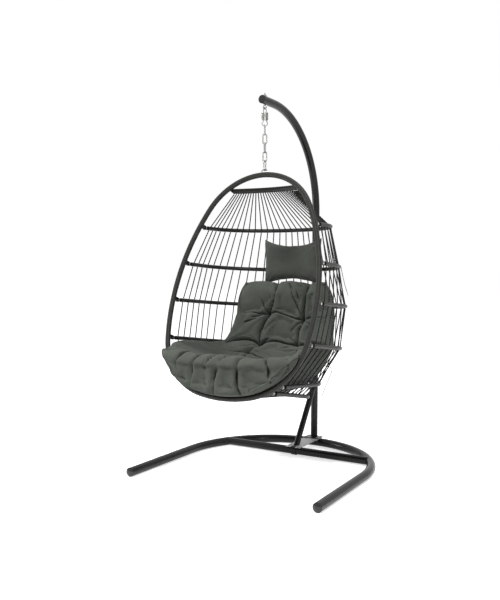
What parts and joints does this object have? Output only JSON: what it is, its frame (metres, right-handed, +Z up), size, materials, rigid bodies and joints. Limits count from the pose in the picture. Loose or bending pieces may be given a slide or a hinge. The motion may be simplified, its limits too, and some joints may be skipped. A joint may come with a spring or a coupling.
{
  "type": "hanging egg chair",
  "caption": "Folding strand basket with cushion and head pillow, hung by a coil spring and chain from a curved post on a U-shaped floor base.",
  "frame": {"origin": "middle of the footprint, on the floor", "axes": "+X across the chair, -Y towards the sitter's front, +Z up"},
  "size_m": [1.11, 1.1171, 1.956],
  "materials": {
    "black_steel": "gloss black powder coat",
    "plate_steel": "light grey coated steel plate",
    "black_plastic": "moulded black plastic",
    "zinc_steel": "bright zinc-plated steel",
    "spring_steel": "zinc-plated spring steel",
    "rib_steel": "satin black powder coat",
    "wicker": "dark charcoal round PE wicker, slightly glossy",
    "cushion_fabric": "dark grey woven polyester",
    "pillow_fabric": "dark grey woven polyester"
  },
  "bodies": {
    "stand": {"base_rail": "black_steel", "foot_caps": "black_plastic", "crossbar": "black_steel", "base_plate": "plate_steel", "crossbar_strap": "black_steel", "post": "black_steel", "plate_bolts": "zinc_steel", "brace": "black_steel", "arm": "black_steel", "arm_bolts": "zinc_steel", "arm_cap": "black_plastic", "eye_bolt": "zinc_steel", "eye_nuts": "zinc_steel"},
    "upper_bail": {"spring_upper_bail": "zinc_steel", "coil_spring": "spring_steel"},
    "lower_bail": {"spring_lower_bail": "zinc_steel"},
    "link_1": {"chain_link_1": "zinc_steel"},
    "link_2": {"chain_link_2": "zinc_steel"},
    "link_3": {"chain_link_3": "zinc_steel"},
    "link_4": {"chain_link_4": "zinc_steel"},
    "link_5": {"chain_link_5": "zinc_steel"},
    "basket": {"hoop": "black_steel", "hoop_wrap": "wicker", "hoop_eye": "zinc_steel", "rib_lugs": "black_steel", "pivot_bolts": "zinc_steel", "pivot_nuts": "zinc_steel", "top_bar": "black_steel", "top_bar_wrap": "wicker", "cushion": "cushion_fabric", "head_pillow": "pillow_fabric", "pillow_tie": "pillow_fabric", "cushion_tie": "cushion_fabric", "seat_strands": "wicker", "strands_1": "wicker", "strands_2": "wicker", "strands_3": "wicker", "strands_4": "wicker", "strands_5": "wicker", "strands_6": "wicker"},
    "rib_2": {"rib_2": "rib_steel", "rib_wrap_2": "wicker"},
    "rib_3": {"rib_3": "rib_steel", "rib_wrap_3": "wicker"},
    "rib_4": {"rib_4": "rib_steel", "rib_wrap_4": "wicker"},
    "rib_5": {"rib_5": "rib_steel", "rib_wrap_5": "wicker"},
    "rib_6": {"rib_6": "rib_steel", "rib_wrap_6": "wicker"},
    "rib_7": {"rib_7": "rib_steel", "rib_wrap_7": "wicker"}
  },
  "joints": [
    {"name": "basket_swing", "type": "hinge", "parent": "stand", "child": "upper_bail", "pos_m": [0, -0.0825, 1.878], "axis": [1, 0, 0], "range_deg": [-15, 7]},
    {"name": "spring_stretch", "type": "slide", "parent": "upper_bail", "child": "lower_bail", "axis": [0, 0, -1], "range_m": [-0.003, 0.006], "stiffness_N_per_m": 41000, "springref_m": -0.0026, "deforming": ["coil_spring"]},
    {"name": "side_swing", "type": "hinge", "parent": "lower_bail", "child": "link_1", "pos_m": [0, -0.0825, 1.7983], "axis": [0, 1, 0], "range_deg": [-8, 8]},
    {"name": "chain_turn_2", "type": "hinge", "parent": "link_1", "child": "link_2", "pos_m": [0, -0.0825, 1.7536], "axis": [0, 0, 1], "range_deg": [-15, 15]},
    {"name": "chain_turn_3", "type": "hinge", "parent": "link_2", "child": "link_3", "pos_m": [0, -0.0825, 1.7089], "axis": [0, 0, 1], "range_deg": [-15, 15]},
    {"name": "chain_turn_4", "type": "hinge", "parent": "link_3", "child": "link_4", "pos_m": [0, -0.0825, 1.6642], "axis": [0, 0, 1], "range_deg": [-15, 15]},
    {"name": "chain_turn_5", "type": "hinge", "parent": "link_4", "child": "link_5", "pos_m": [0, -0.0825, 1.6195], "axis": [0, 0, 1], "range_deg": [-15, 15]},
    {"name": "basket_rock", "type": "hinge", "parent": "link_5", "child": "basket", "pos_m": [0, -0.0825, 1.5748], "axis": [-1, 0, 0], "range_deg": [-8, 12]},
    {"name": "basket_fold", "type": "hinge", "parent": "basket", "child": "rib_5", "pos_m": [0, -0.35109, 0.71146], "axis": [1, 0, 0], "range_deg": [0, 67.8], "deforming": ["cushion", "head_pillow", "pillow_tie", "cushion_tie", "seat_strands", "strands_1", "strands_2", "strands_3", "strands_4", "strands_5", "strands_6"]},
    {"name": "fold_rib_2", "type": "hinge", "parent": "basket", "child": "rib_2", "pos_m": [0, -0.14713, 1.28423], "axis": [1, 0, 0], "range_deg": [0, 61.1]},
    {"name": "fold_rib_3", "type": "hinge", "parent": "basket", "child": "rib_3", "pos_m": [0, -0.21489, 1.09394], "axis": [1, 0, 0], "range_deg": [0, 64.4]},
    {"name": "fold_rib_4", "type": "hinge", "parent": "basket", "child": "rib_4", "pos_m": [0, -0.28232, 0.90458], "axis": [1, 0, 0], "range_deg": [0, 65.2]},
    {"name": "fold_rib_6", "type": "hinge", "parent": "basket", "child": "rib_6", "pos_m": [0, -0.42052, 0.51646], "axis": [1, 0, 0], "range_deg": [0, 66.4]},
    {"name": "fold_rib_7", "type": "hinge", "parent": "basket", "child": "rib_7", "pos_m": [0, -0.43092, 0.48725], "axis": [1, 0, 0], "range_deg": [0, 71.7]}
  ],
  "couplings": [
    {"joint": "fold_rib_2", "follows": "basket_fold", "ratio": 0.9012},
    {"joint": "fold_rib_3", "follows": "basket_fold", "ratio": 0.9499},
    {"joint": "fold_rib_4", "follows": "basket_fold", "ratio": 0.9617},
    {"joint": "fold_rib_6", "follows": "basket_fold", "ratio": 0.9794},
    {"joint": "fold_rib_7", "follows": "basket_fold", "ratio": 1.0575}
  ]
}
